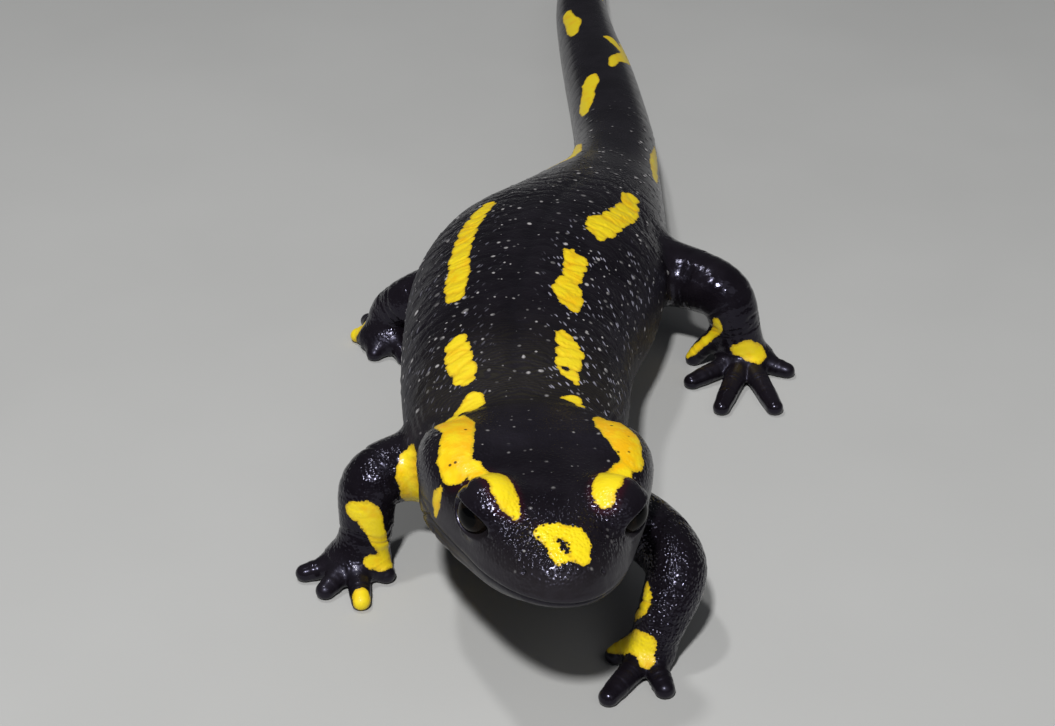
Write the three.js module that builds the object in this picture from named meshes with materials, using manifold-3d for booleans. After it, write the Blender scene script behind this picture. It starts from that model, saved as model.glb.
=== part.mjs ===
// Fire salamander (Salamandra salamandra), a still, life-size adult standing with its head raised.
// Millimetres, +Z up. The head faces -Y, the tail trails to +Y, and the animal's left side is +X.
// The animal is modelled whole, as lofts along its spine, head and limbs, and is then parted by
// thin cuts into the pieces that a person would name.
import * as THREE from "three";
import { mergeVertices } from "three/addons/utils/BufferGeometryUtils.js";
import Module from "manifold-3d";

const wasm = await Module();
wasm.setup();

// ---------------------------------------------------------------- driving dimensions
const CUT = 0.3; // gap left between neighbouring pieces
const FAR = 400; // edge of the boxes that cut
const HEAD = {
  snout: 8.5, // from the line through the eyes forward to the lips
  nape: 17, // from that line back to the end inside the neck
  at: new THREE.Vector3(1.8, -35.1, 14.3), // on the mouth line, between the eyes
  yaw: 7.5,
  noseUp: 8,
  roll: 4.5,
};
const EYE = { ahead: 0, aside: 5.5, above: 3.8, radius: 2.2 };
const BROW = { ahead: -0.5, aside: 4.7, above: 3.9, long: 3.7, wide: 2.5, high: 2.5 };
const GLAND = { ahead: -9.6, aside: 6.7, above: 3.2, long: 5.6, wide: 3.3, high: 2.9, splay: 6 };
const MOUTH_CORNER = -7; // ahead of the line through the eyes
const TOE = { radius: 0.9, atRoot: 1.12, atTip: 0.9, flat: 0.92, tipLength: 0.14, knuckle: 0.55 };
const BLUNT = 0.06; // a toe's end is this far from a point, as a share of its radius squared
// Sections are superellipses: 2 is an ellipse, and more is squarer.
const SQUARE = { body: 2.2, skull: 2.3, limb: 2 };
// Facets along and around each form.
const FACETS = { body: [38, 20], skull: [14, 22], limb: [12, 10], toe: [5, 8], brow: 10, round: 12 };

// The spine from inside the head to the tip of the tail: place of the section's middle, then its
// half width, its height above the middle and its depth below it.
const SPINE = [
  { y: -26, x: 1.0, z: 13.0, wide: 7.6, up: 4.6, down: 4.6 },
  { y: -20.5, x: 0.0, z: 11.9, wide: 8.6, up: 5.3, down: 5.4 }, // neck
  { y: -14, x: -0.9, z: 10.9, wide: 9.8, up: 6.7, down: 6.9 }, // shoulders
  { y: -6, x: -1.1, z: 10.1, wide: 10.7, up: 7.9, down: 8.2 },
  { y: 4, x: -0.8, z: 9.5, wide: 11.5, up: 8.7, down: 9.0 },
  { y: 13, x: 0.6, z: 9.2, wide: 12.6, up: 8.8, down: 9.3 }, // belly
  { y: 21, x: 2.6, z: 9.1, wide: 12.3, up: 8.3, down: 9.2 },
  { y: 28, x: 5.2, z: 9.0, wide: 10.1, up: 7.2, down: 8.0 }, // hips
  { y: 35, x: 7.3, z: 8.6, wide: 8.0, up: 5.9, down: 6.6 },
  { y: 42, x: 9.0, z: 7.7, wide: 6.2, up: 5.1, down: 5.8 }, // root of the tail
  { y: 49, x: 10.0, z: 6.8, wide: 5.2, up: 4.8, down: 5.5 },
  { y: 57, x: 10.4, z: 6.0, wide: 4.8, up: 4.6, down: 5.4 },
  { y: 69, x: 9.9, z: 5.2, wide: 4.6, up: 4.4, down: 5.2 },
  { y: 81, x: 9.1, z: 4.5, wide: 4.4, up: 4.2, down: 4.7 },
  { y: 93, x: 8.1, z: 3.9, wide: 3.9, up: 3.8, down: 4.1 },
  { y: 105, x: 7.5, z: 3.5, wide: 3.5, up: 3.4, down: 3.7 },
  { y: 116, x: 7.8, z: 3.0, wide: 3.0, up: 2.9, down: 3.2 },
  { y: 125, x: 8.8, z: 2.2, wide: 2.1, up: 2.1, down: 2.4 },
  { y: 130, x: 9.6, z: 1.4, wide: 0.6, up: 0.6, down: 1.4 }, // tip
];
const BODY_CUTS = { neck: -19.5, shoulder: -13.5, waist: 6, hip: 23, tail: 39, mid: 69, end: 99 };

// The skull's section, from the nape to the lips: half width, height above the mouth line and
// depth below it.
const SKULL = [
  { ahead: -17, wide: 7.8, up: 5.2, down: 4.2 },
  { ahead: -13, wide: 9.5, up: 6.0, down: 4.7 },
  { ahead: -8.5, wide: 9.7, up: 6.2, down: 4.7 },
  { ahead: -4, wide: 8.6, up: 6.0, down: 4.1 },
  { ahead: 0, wide: 7.2, up: 5.6, down: 3.2 },
  { ahead: 3.5, wide: 5.9, up: 4.8, down: 2.4 },
  { ahead: 6.1, wide: 4.4, up: 3.8, down: 1.6 },
  { ahead: 7.8, wide: 2.8, up: 2.7, down: 1.0 },
  { ahead: 8.5, wide: 1.6, up: 1.5, down: 0.6 },
];

// Each limb: the line from inside the trunk to the sole, its half thickness at each point of the
// line, the sole's half sizes, and the toes' tips from the inner toe outwards.
const BEND = 2; // the line's point at the elbow or knee
const ANKLE = 3; // and at the wrist or ankle
const LIMBS = [
  {
    name: "front_left",
    upper: "upper_arm",
    lower: "forearm",
    line: [
      [5.0, -18.4, 7.6],
      [10.6, -22.8, 7.5],
      [12.8, -27.9, 7.0],
      [11.0, -31.7, 3.4],
      [9.9, -33.5, 1.2],
    ],
    girth: [3.2, 3.0, 2.8, 2.7, 2.4],
    sole: [3.0, 2.5, 1.8],
    toes: [[6.7, -31.7], [6.3, -37.9], [11.5, -36.9], [12.3, -29.4]],
  },
  {
    name: "front_right",
    upper: "upper_arm",
    lower: "forearm",
    line: [
      [-5.5, -14.6, 8.6],
      [-11.2, -14.6, 9.0],
      [-14.1, -16.6, 8.2],
      [-14.7, -18.0, 3.6],
      [-15.6, -18.7, 1.2],
    ],
    girth: [3.3, 3.2, 2.9, 2.5, 2.4],
    sole: [3.2, 2.6, 1.8],
    toes: [[-12.2, -20.7], [-14.7, -25.0], [-18.6, -23.3], [-21.0, -20.2]],
  },
  {
    name: "hind_left",
    upper: "thigh",
    lower: "shank",
    line: [
      [8.5, 26.0, 8.6],
      [14.8, 22.2, 8.4],
      [20.4, 18.0, 8.0],
      [22.0, 17.2, 3.6],
      [22.8, 16.4, 1.2],
    ],
    girth: [3.8, 3.5, 3.2, 2.7, 2.5],
    sole: [3.5, 2.9, 1.8],
    toes: [[16.9, 17.6], [16.3, 12.3], [19.4, 7.0], [25.3, 7.0], [27.8, 14.6]],
  },
  {
    name: "hind_right",
    upper: "thigh",
    lower: "shank",
    line: [
      [1.0, 25.6, 7.0],
      [-6.4, 23.4, 6.4],
      [-12.0, 21.0, 5.8],
      [-14.4, 21.8, 3.6],
      [-15.0, 21.0, 1.2],
    ],
    girth: [3.6, 3.4, 3.0, 2.5, 2.2],
    sole: [3.1, 2.7, 1.8],
    toes: [[-12.6, 16.8], [-16.5, 17.6], [-18.9, 22.4], [-17.6, 26.0], [-14.0, 27.4]],
  },
];

// ---------------------------------------------------------------- tools
const skin = new THREE.MeshStandardMaterial({ color: 0x141118, roughness: 0.3, metalness: 0 });
const eyeball = new THREE.MeshStandardMaterial({ color: 0x050406, roughness: 0.08, metalness: 0 });
const radians = THREE.MathUtils.degToRad;
const vector = (p) => new THREE.Vector3(...p);
const grown = (sizes, margin) => sizes.map((size) => size + margin);
const UP = new THREE.Vector3(0, 0, 1);

// A smooth curve through the values that a table's column holds, at any value of its first column.
function column(table, by, key) {
  const at = table.map((row) => row[by]);
  const value = table.map((row) => row[key]);
  const slope = value.map((v, i) => {
    const a = Math.max(0, i - 1);
    const b = Math.min(at.length - 1, i + 1);
    return (value[b] - value[a]) / (at[b] - at[a]);
  });
  return (t) => {
    let i = at.findIndex((a) => a > t) - 1;
    if (i < 0) i = t <= at[0] ? 0 : at.length - 2;
    const span = at[i + 1] - at[i];
    const s = Math.min(1, Math.max(0, (t - at[i]) / span));
    return (
      value[i] * (1 + 2 * s) * (1 - s) ** 2 +
      slope[i] * span * s * (1 - s) ** 2 +
      value[i + 1] * s * s * (3 - 2 * s) +
      slope[i + 1] * span * s * s * (s - 1)
    );
  };
}

// A closed loft: a cylinder's rings moved onto sections. section(t) gives the middle, the side and
// up directions and the half sizes, and square is the sections' superellipse exponent.
function loft(section, [rows, around], square) {
  const shape = new THREE.CylinderGeometry(1, 1, 1, around, rows);
  const at = shape.getAttribute("position");
  for (let i = 0; i < at.count; i++) {
    const [x, z] = [at.getX(i), at.getZ(i)];
    const reach = (Math.abs(x) ** square + Math.abs(z) ** square) ** (1 / square) || 1;
    const s = section(0.5 - at.getY(i));
    const p = s.middle
      .clone()
      .addScaledVector(s.side, (x / reach) * s.wide)
      .addScaledVector(s.upward, (z / reach) * (z > 0 ? s.up : s.down));
    at.setXYZ(i, p.x, p.y, p.z);
  }
  return solid(shape);
}

// A geometry as a solid that can be joined and cut.
function solid(geometry) {
  const bare = geometry.clone();
  bare.deleteAttribute("normal");
  bare.deleteAttribute("uv");
  const merged = mergeVertices(bare, 1e-4);
  const made = new wasm.Manifold(
    new wasm.Mesh({
      numProp: 3,
      vertProperties: merged.getAttribute("position").array,
      triVerts: new Uint32Array(merged.index.array),
    }),
  );
  return made.volume() < 0 ? solid(turned(geometry)) : made;
}

// The same geometry with its faces turned round.
function turned(geometry) {
  const flipped = geometry.clone();
  const index = flipped.index.array;
  for (let i = 0; i < index.length; i += 3) [index[i], index[i + 1]] = [index[i + 1], index[i]];
  return flipped;
}

// An ellipsoid in the frame of a matrix.
function ellipsoid(frame, middle, half, around = FACETS.round) {
  const shape = new THREE.SphereGeometry(1, around, Math.round(around * 0.6));
  shape.scale(...half);
  shape.translate(...middle);
  return solid(shape.applyMatrix4(frame));
}

// The part of a solid on the far side of a plane through point, in the direction of normal.
function beyond(body, point, normal) {
  const shape = new THREE.BoxGeometry(FAR, FAR, FAR);
  shape.translate(0, 0, FAR / 2);
  const turn = new THREE.Quaternion().setFromUnitVectors(UP, normal.clone().normalize());
  shape.applyQuaternion(turn).translate(point.x, point.y, point.z);
  return body.intersect(solid(shape));
}

// A box given by its corners in the frame of a matrix.
function block(frame, low, high) {
  const size = high.map((h, i) => h - low[i]);
  const shape = new THREE.BoxGeometry(...size);
  shape.translate(...high.map((h, i) => (h + low[i]) / 2));
  return solid(shape.applyMatrix4(frame));
}

const aboveFloor = (body) => beyond(body, new THREE.Vector3(0, 0, 0), UP);

function node(name, body, material) {
  const made = body.getMesh();
  const shape = new THREE.BufferGeometry();
  shape.setAttribute("position", new THREE.BufferAttribute(made.vertProperties, 3));
  shape.setIndex(new THREE.BufferAttribute(made.triVerts, 1));
  shape.computeVertexNormals();
  const mesh = new THREE.Mesh(shape, material);
  mesh.name = name;
  return mesh;
}

// ---------------------------------------------------------------- trunk and tail
const spine = Object.fromEntries(
  ["x", "z", "wide", "up", "down"].map((key) => [key, column(SPINE, "y", key)]),
);
const spineStart = SPINE[0].y;
const spineEnd = SPINE[SPINE.length - 1].y;

function spineFrame(y) {
  const step = 0.5;
  const middle = new THREE.Vector3(spine.x(y), y, spine.z(y));
  const along = new THREE.Vector3(
    spine.x(y + step) - spine.x(y - step),
    2 * step,
    spine.z(y + step) - spine.z(y - step),
  ).normalize();
  const side = new THREE.Vector3().crossVectors(along, UP).normalize();
  return { middle, along, side, upward: new THREE.Vector3().crossVectors(side, along) };
}

// The trunk and tail as one solid, grown outwards by a margin.
function trunkAndTail(margin = 0) {
  return loft(
    (t) => {
      const y = THREE.MathUtils.lerp(spineStart, spineEnd, t);
      const sizes = { wide: spine.wide(y), up: spine.up(y), down: spine.down(y) };
      for (const key of Object.keys(sizes)) sizes[key] += margin;
      return { ...spineFrame(y), ...sizes };
    },
    FACETS.body,
    SQUARE.body,
  );
}

// ---------------------------------------------------------------- head
const headFrame = new THREE.Matrix4().compose(
  HEAD.at,
  new THREE.Quaternion().setFromEuler(
    new THREE.Euler(radians(-HEAD.noseUp), radians(HEAD.roll), radians(HEAD.yaw), "ZXY"),
  ),
  new THREE.Vector3(1, 1, 1),
);

// The skull with its brows and glands, in its own frame: ahead is -y, and the mouth line is z = 0.
// It can be grown outwards by a margin.
function skull(margin = 0) {
  const size = Object.fromEntries(
    ["wide", "up", "down"].map((key) => [key, column(SKULL, "ahead", key)]),
  );
  const [side, upward] = [new THREE.Vector3(1, 0, 0), UP];
  let head = loft(
    (t) => {
      const ahead = HEAD.snout - (HEAD.snout + HEAD.nape) * (1 - Math.cos((t * Math.PI) / 2));
      return {
        middle: new THREE.Vector3(0, -ahead, 0),
        side,
        upward,
        wide: size.wide(ahead) + margin,
        up: size.up(ahead) + margin,
        down: size.down(ahead) + margin,
      };
    },
    FACETS.skull,
    SQUARE.skull,
  ).transform(headFrame.elements);
  for (const aside of [-1, 1]) {
    const brow = ellipsoid(
      headFrame,
      [BROW.aside * aside, -BROW.ahead, BROW.above],
      grown([BROW.wide, BROW.long, BROW.high], margin),
      FACETS.brow,
    );
    const splay = new THREE.Matrix4()
      .makeTranslation(GLAND.aside * aside, -GLAND.ahead, GLAND.above)
      .multiply(new THREE.Matrix4().makeRotationZ(radians(-GLAND.splay * aside)));
    const gland = ellipsoid(
      headFrame.clone().multiply(splay),
      [0, 0, 0],
      grown([GLAND.wide, GLAND.long, GLAND.high], margin),
    );
    head = head.add(brow).add(gland);
  }
  return head;
}

function eye(aside, radius) {
  const middle = [EYE.aside * aside, -EYE.ahead, EYE.above];
  return ellipsoid(headFrame, middle, [radius, radius, radius]);
}

// ---------------------------------------------------------------- limbs
// The place along a curve, from 0 to 1, that is nearest to a point.
function nearestOn(curve, point) {
  let best = 0;
  for (let t = 0; t <= 1; t += 0.005) {
    const distance = curve.getPointAt(t).distanceTo(point);
    if (distance < curve.getPointAt(best).distanceTo(point)) best = t;
  }
  return best;
}

// A round tube along a curve, of the radii given at even steps along it.
function limbTube(curve, radii, margin = 0) {
  const steps = 40;
  const frames = curve.computeFrenetFrames(steps, false);
  const girth = column(
    radii.map((r, i) => ({ t: i / (radii.length - 1), r })),
    "t",
    "r",
  );
  return loft(
    (t) => {
      const nearest = Math.round(t * steps);
      const r = girth(t) + margin;
      return {
        middle: curve.getPointAt(t),
        side: frames.normals[nearest],
        upward: frames.binormals[nearest].clone().negate(),
        wide: r,
        up: r,
        down: r,
      };
    },
    FACETS.limb,
    SQUARE.limb,
  );
}

// The palm or sole: a flattened ellipsoid that reaches into the floor, where it is cut flat.
function sole(limb, margin = 0) {
  const frame = new THREE.Matrix4().makeTranslation(...limb.line.at(-1));
  return ellipsoid(frame, [0, 0, 0], grown(limb.sole, margin));
}

// A toe from the middle of the foot to its tip. The inner toe comes down from the wrist or ankle.
function toe(limb, i, margin = 0) {
  const ankle = vector(limb.line[ANKLE]);
  const from = vector(limb.line.at(-1));
  if (i === 0) from.lerp(ankle, 0.5);
  const to = new THREE.Vector3(...limb.toes[i], TOE.radius / 2);
  const knuckle = from.clone().lerp(to, TOE.knuckle);
  if (i > 0) knuckle.z = TOE.radius;
  const curve = new THREE.CatmullRomCurve3([from, knuckle, to]);
  return loft(
    (s) => {
      const t = Math.sin((s * Math.PI) / 2);
      const along = curve.getTangentAt(t);
      const side = new THREE.Vector3().crossVectors(along, UP).normalize();
      const pastRound = Math.max(0, 1 - (1 - t) / TOE.tipLength);
      const roundness = Math.sqrt(Math.max(BLUNT, 1 - pastRound ** 2));
      const taper = THREE.MathUtils.lerp(TOE.atRoot, TOE.atTip, t);
      const r = TOE.radius * taper * roundness + margin;
      return {
        middle: curve.getPointAt(t),
        side,
        upward: new THREE.Vector3().crossVectors(side, along),
        wide: r,
        up: r * TOE.flat,
        down: r * TOE.flat,
      };
    },
    FACETS.toe,
    SQUARE.limb,
  );
}

function limbNodes(limb, trunk) {
  const joints = limb.line.map(vector);
  const curve = new THREE.CatmullRomCurve3(joints, false, "centripetal");
  const elbow = nearestOn(curve, joints[BEND]);
  const across = curve.getTangentAt(elbow);
  const footZone = sole(limb, CUT);
  const whole = limbTube(curve, limb.girth).subtract(trunk.add(footZone));
  const gap = across.clone().multiplyScalar(CUT / 2);
  const bend = curve.getPointAt(elbow);
  const upper = beyond(whole, bend.clone().sub(gap), across.clone().negate());
  const lower = beyond(whole, bend.clone().add(gap), across);
  const nodes = [
    node(`${limb.upper}_${limb.name}`, largest(upper), skin),
    node(`${limb.lower}_${limb.name}`, largest(aboveFloor(lower)), skin),
  ];
  nodes.push(node(`foot_${limb.name}`, aboveFloor(sole(limb)), skin));
  let taken = footZone.add(limbTube(curve, limb.girth, CUT));
  for (let i = 0; i < limb.toes.length; i++) {
    const body = aboveFloor(toe(limb, i).subtract(taken));
    nodes.push(node(`toe_${i + 1}_${limb.name}`, largest(body), skin));
    taken = taken.add(toe(limb, i, CUT));
  }
  return nodes;
}

// The largest body of a solid that a cut may have left in several.
function largest(body) {
  return body.decompose().reduce((a, b) => (a.volume() > b.volume() ? a : b));
}

// ---------------------------------------------------------------- assembly
const model = new THREE.Group();
const sockets = eye(-1, EYE.radius + CUT).add(eye(1, EYE.radius + CUT));
const whole = aboveFloor(skull().subtract(sockets).add(trunkAndTail()).subtract(sockets));

// The stretch of the body between two places on the spine, less half a cut at each end.
function stretch(from, to) {
  let body = whole;
  if (from !== null) {
    const f = spineFrame(from + CUT / 2);
    body = beyond(body, f.middle, f.along);
  }
  if (to !== null) {
    const f = spineFrame(to - CUT / 2);
    body = beyond(body, f.middle, f.along.clone().negate());
  }
  return largest(body);
}

const headWhole = stretch(null, BODY_CUTS.neck);
const jaw = block(headFrame, [-FAR, -FAR, -FAR], [FAR, -MOUTH_CORNER, -CUT / 2]);
const jawZone = block(headFrame, [-FAR, -FAR, -FAR], [FAR, -MOUTH_CORNER + CUT, CUT / 2]);
model.add(node("head", largest(headWhole.subtract(jawZone)), skin));
model.add(node("lower_jaw", largest(headWhole.intersect(jaw)), skin));
model.add(node("eye_right", eye(-1, EYE.radius), eyeball));
model.add(node("eye_left", eye(1, EYE.radius), eyeball));
model.add(node("neck", stretch(BODY_CUTS.neck, BODY_CUTS.shoulder), skin));
model.add(node("chest", stretch(BODY_CUTS.shoulder, BODY_CUTS.waist), skin));
model.add(node("belly", stretch(BODY_CUTS.waist, BODY_CUTS.hip), skin));
model.add(node("pelvis", stretch(BODY_CUTS.hip, BODY_CUTS.tail), skin));
model.add(node("tail_root", stretch(BODY_CUTS.tail, BODY_CUTS.mid), skin));
model.add(node("tail_middle", stretch(BODY_CUTS.mid, BODY_CUTS.end), skin));
model.add(node("tail_end", stretch(BODY_CUTS.end, null), skin));
const trunkZone = trunkAndTail(CUT).add(skull(CUT));
for (const limb of LIMBS) model.add(...limbNodes(limb, trunkZone));

// The origin is on the floor, at the middle of the footprint.
const box = new THREE.Box3().setFromObject(model);
model.position.set(-(box.min.x + box.max.x) / 2, -(box.min.y + box.max.y) / 2, 0);

export default model;
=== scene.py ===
import math

import bpy
import numpy as np
import openvdb
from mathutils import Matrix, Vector


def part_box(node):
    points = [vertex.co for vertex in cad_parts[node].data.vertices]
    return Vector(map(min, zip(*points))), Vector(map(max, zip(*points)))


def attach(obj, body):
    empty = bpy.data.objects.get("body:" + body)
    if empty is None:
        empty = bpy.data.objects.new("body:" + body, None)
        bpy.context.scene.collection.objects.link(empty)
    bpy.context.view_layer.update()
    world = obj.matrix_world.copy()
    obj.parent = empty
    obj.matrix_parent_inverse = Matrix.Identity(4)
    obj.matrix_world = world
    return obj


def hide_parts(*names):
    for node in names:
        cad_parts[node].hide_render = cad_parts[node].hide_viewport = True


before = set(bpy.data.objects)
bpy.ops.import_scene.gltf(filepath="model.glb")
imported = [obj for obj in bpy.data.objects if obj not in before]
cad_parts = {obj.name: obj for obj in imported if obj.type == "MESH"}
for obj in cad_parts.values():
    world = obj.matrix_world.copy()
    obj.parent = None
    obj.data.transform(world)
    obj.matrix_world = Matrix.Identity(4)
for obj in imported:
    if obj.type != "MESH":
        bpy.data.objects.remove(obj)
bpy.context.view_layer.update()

# A fire salamander, life size, in one smooth skin with its yellow patches, and two eyeballs.
# The skin is a distance field built on the same named sizes as the solids, in millimetres and in
# the source's own coordinates: +Z up, the head faces -Y and the animal's left side is +X.
# The eye nodes then place it in the row frame.
MM = 0.001

# ---- named sizes of the solids
HEAD_AT = np.array([1.8, -35.1, 14.3])  # on the mouth line, between the eyes
HEAD_YAW, HEAD_NOSE_UP, HEAD_ROLL = np.radians([7.5, 8.0, 4.5])
BROW_AT, BROW_HALF = np.array([4.7, 0.3, 3.9]), np.array([2.5, 3.2, 2.5])
GLAND_AT, GLAND_HALF = np.array([6.7, 9.6, 3.2]), np.array([3.3, 5.6, 2.9])
GLAND_SPLAY = math.radians(6)
TOE_RADIUS = 0.9
BODY_SQUARE, HEAD_SQUARE = 2.2, 2.3  # how boxy the sections are
EYE_AT, EYE_RADIUS = np.array([5.5, 0.0, 3.8]), 2.2  # of the left eye, in the head's own axes
# The eye opening, as seen from the eyeball's middle: where it looks, its tilt and half sizes.
LOOK_OUT, LOOK_UP, OPENING_TILT = np.radians([46, 1, 20])
OPENING_BACK, OPENING_FRONT, OPENING_UP, OPENING_DOWN = np.radians([56, 47, 21, 41])
LID, UPPER_LID_MORE, UPPER_RIM, LOWER_RIM = 0.24, 0.12, 0.13, 0.08  # thicknesses
# Over how many millimetres one form blends into the next.
BROW_BLEND, GLAND_BLEND, LID_BLEND, RIM_BLEND = 1.2, 1.6, 0.7, 0.3
NECK_BLEND, HIP_BLEND, SOLE_BLEND, TOE_BLEND, FLOOR_BLEND = 2.0, 1.8, 0.9, 0.7, 0.35
WEB = 0.5  # how far the skin spans the forks between toes
TOE_SQUASH = 0.92  # a toe's height to its width
# y, x, z, half width, height above and depth below the section's middle
SPINE = np.array([
    [-26, 1, 13, 7.6, 4.6, 4.6],
    [-20.5, 0, 11.9, 8.6, 5.3, 5.4],
    [-14, -0.9, 10.9, 9.8, 6.7, 6.9],
    [-6, -1.1, 10.1, 10.7, 7.9, 8.2],
    [4, -0.8, 9.5, 11.5, 8.7, 9],
    [13, 0.6, 9.2, 12.6, 8.8, 9.3],
    [21, 2.6, 9.1, 12.3, 8.3, 9.2],
    [28, 5.2, 9, 10.1, 7.2, 8],
    [35, 7.3, 8.6, 8, 5.9, 6.6],
    [42, 9, 7.7, 6.2, 5.1, 5.8],
    [49, 10, 6.8, 5.2, 4.8, 5.5],
    [57, 10.4, 6, 4.8, 4.6, 5.4],
    [69, 9.9, 5.2, 4.6, 4.4, 5.2],
    [81, 9.1, 4.5, 4.4, 4.2, 4.7],
    [93, 8.1, 3.9, 3.9, 3.8, 4.1],
    [105, 7.5, 3.5, 3.5, 3.4, 3.7],
    [116, 7.8, 3, 3, 2.9, 3.2],
    [125, 8.8, 2.2, 2.1, 2.1, 2.4],
    [130, 9.6, 1.4, 0.6, 0.6, 1.4],
])
# ahead of the line through the eyes, half width, height above and depth below the mouth line
SKULL = np.array([
    [-17, 7.8, 5.2, 4.2],
    [-13, 9.5, 6, 4.7],
    [-8.5, 9.7, 6.2, 4.7],
    [-4, 8.6, 6, 4.1],
    [0, 7.2, 5.6, 3.2],
    [3.5, 5.9, 4.8, 2.4],
    [6.1, 4.4, 3.8, 1.6],
    [7.8, 3, 2.9, 1.1],
    [8.8, 2.6, 2.4, 1],
])
# Where the skull and the trunk begin to round off at each end, and over how far.
SKULL_ENDS, TRUNK_ENDS = ((-16, 1.5), (7.2, 1.6)), ((-25, 1.5), (128.6, 1.6))
LIMBS = {
    "front_left": dict(
        line=[[5, -18.4, 7.6], [10.6, -22.8, 7.5], [12.8, -27.9, 7], [11.3, -31.1, 3.6],
              [10.4, -32, 1.2]],
        girth=[3.2, 3, 2.8, 2.5, 1.9], sole=[2.2, 1.9, 1.5],
        toes=[[6.7, -31.7], [6.3, -37.9], [11.8, -37], [12.3, -29.4]],
    ),
    "front_right": dict(
        line=[[-5.5, -14.6, 7.8], [-11.2, -14.6, 8.6], [-14.1, -16.6, 8], [-14.7, -18, 3.6],
              [-15.6, -18.7, 1.2]],
        girth=[3.3, 3.2, 2.9, 2.5, 2.4], sole=[3.2, 2.6, 1.8],
        toes=[[-12.2, -20.7], [-14.7, -25], [-18.6, -23.3], [-21, -20.2]],
    ),
    "hind_left": dict(
        line=[[8.5, 26, 8.6], [14.8, 22.2, 8.4], [20.4, 18, 8], [22, 17.2, 3.6],
              [22.8, 16.8, 1.2]],
        girth=[3.8, 3.5, 3.2, 2.7, 2.3], sole=[3.2, 2.4, 1.7],
        inner=[20.6, 16.9, 4.4],
        toes=[[16.9, 17.6], [16.3, 12.3], [19.4, 7], [25.3, 7], [27.8, 14.6]],
    ),
    "hind_right": dict(
        line=[[1, 25.6, 7], [-6.4, 23.4, 6.4], [-12, 21, 5.8], [-14.4, 21.8, 3.6],
              [-15, 21, 1.2]],
        girth=[3.6, 3.4, 3, 2.5, 2.2], sole=[3.1, 2.7, 1.8],
        toes=[[-12.6, 16.8], [-16.5, 17.6], [-18.9, 22.4], [-17.6, 26], [-14, 27.4]],
    ),
}


# ---- distance field
def smooth_columns(table):
    """A function that gives the table's other columns, and their slopes, at its first column."""
    at, value = table[:, 0], table[:, 1:]
    lower = np.maximum(np.arange(len(at)) - 1, 0)
    upper = np.minimum(np.arange(len(at)) + 1, len(at) - 1)
    slope = (value[upper] - value[lower]) / (at[upper] - at[lower])[:, None]

    def columns(t):
        i = np.clip(np.searchsorted(at, t, side="right") - 1, 0, len(at) - 2)
        span = (at[i + 1] - at[i])[..., None]
        s = np.clip((t - at[i])[..., None] / span, 0, 1)
        a, b, ma, mb = value[i], value[i + 1], slope[i] * span, slope[i + 1] * span
        place = (
            a * (1 + 2 * s) * (1 - s) ** 2
            + ma * s * (1 - s) ** 2
            + b * s * s * (3 - 2 * s)
            + mb * s * s * (s - 1)
        )
        rate = (
            6 * (b - a) * s * (1 - s) + ma * (1 - s) * (1 - 3 * s) + mb * s * (3 * s - 2)
        ) / span
        return place, rate

    return columns


spine_at = smooth_columns(SPINE)
skull_at = smooth_columns(SKULL)


def smin(a, b, k):
    """The lesser of two distances, blended over k millimetres."""
    h = np.maximum(k - np.abs(a - b), 0) / k
    return np.minimum(a, b) - h * h * k / 4


def smax(a, b, k):
    return -smin(-a, -b, k)


def bell(x, width):
    """1 where x is 0, and almost 0 from two widths away."""
    return np.exp(-((x / width) ** 2))


def lengths(rows):
    """The length of each row."""
    return np.linalg.norm(rows, axis=1)


def rotation(axis, angle):
    c, s = math.cos(angle), math.sin(angle)
    turns = {
        "x": [[1, 0, 0], [0, c, -s], [0, s, c]],
        "y": [[c, 0, s], [0, 1, 0], [-s, 0, c]],
        "z": [[c, -s, 0], [s, c, 0], [0, 0, 1]],
    }
    return np.array(turns[axis])


def opening_axes():
    """The left eye opening's backward, outward and upward axes, in the head's own axes."""
    c, s = math.cos(LOOK_OUT), math.sin(LOOK_OUT)
    out = np.array([s * math.cos(LOOK_UP), -c * math.cos(LOOK_UP), math.sin(LOOK_UP)])
    back = np.array([c, s, 0])
    up = np.cross(out, back)
    c, s = math.cos(OPENING_TILT), math.sin(OPENING_TILT)
    return back * c + up * s, out, up * c - back * s


OPENING_AXES = opening_axes()
HEAD_TURN = rotation("z", HEAD_YAW) @ rotation("x", -HEAD_NOSE_UP) @ rotation("y", HEAD_ROLL)


def to_head(p):
    """Points in the head's own axes: x to its left, y backwards and z up from the mouth line."""
    return (p - HEAD_AT) @ HEAD_TURN


def from_head(q):
    return q @ HEAD_TURN.T + HEAD_AT


def on_left(q):
    """Points of the head's own axes, with those of its right side mirrored to the left."""
    return np.column_stack([np.abs(q[:, 0]), q[:, 1:]])


def in_box(p, points, margin):
    """Which of p lie in the box around the points, made wider by a margin."""
    low, high = points.min(0) - margin, points.max(0) + margin
    return np.flatnonzero(np.all((p > low) & (p < high), axis=1))


def spine_place(p):
    """The place along the spine, and how far to the side and upwards of it, of each point."""
    t = p[:, 1].copy()
    for _ in range(3):
        place, rate = spine_at(t)
        off = p - np.stack([place[:, 0], t, place[:, 1]], -1)
        along = off[:, 0] * rate[:, 0] + off[:, 1] + off[:, 2] * rate[:, 1]
        t += along / (1 + rate[:, 0] ** 2 + rate[:, 1] ** 2)
    place, rate = spine_at(t)
    off = p - np.stack([place[:, 0], t, place[:, 1]], -1)
    side, upward = spine_frame(rate)
    return t, (off * side).sum(1), (off * upward).sum(1), place, rate


def spine_frame(rate):
    """The directions to the left of the spine and upwards from it."""
    tangent = np.stack([rate[:, 0], np.ones(len(rate)), rate[:, 1]], -1)
    side = np.stack([tangent[:, 1], -tangent[:, 0], np.zeros(len(rate))], -1)
    side /= lengths(side)[:, None]
    upward = np.cross(side, tangent)
    return side, upward / lengths(upward)[:, None]


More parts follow.
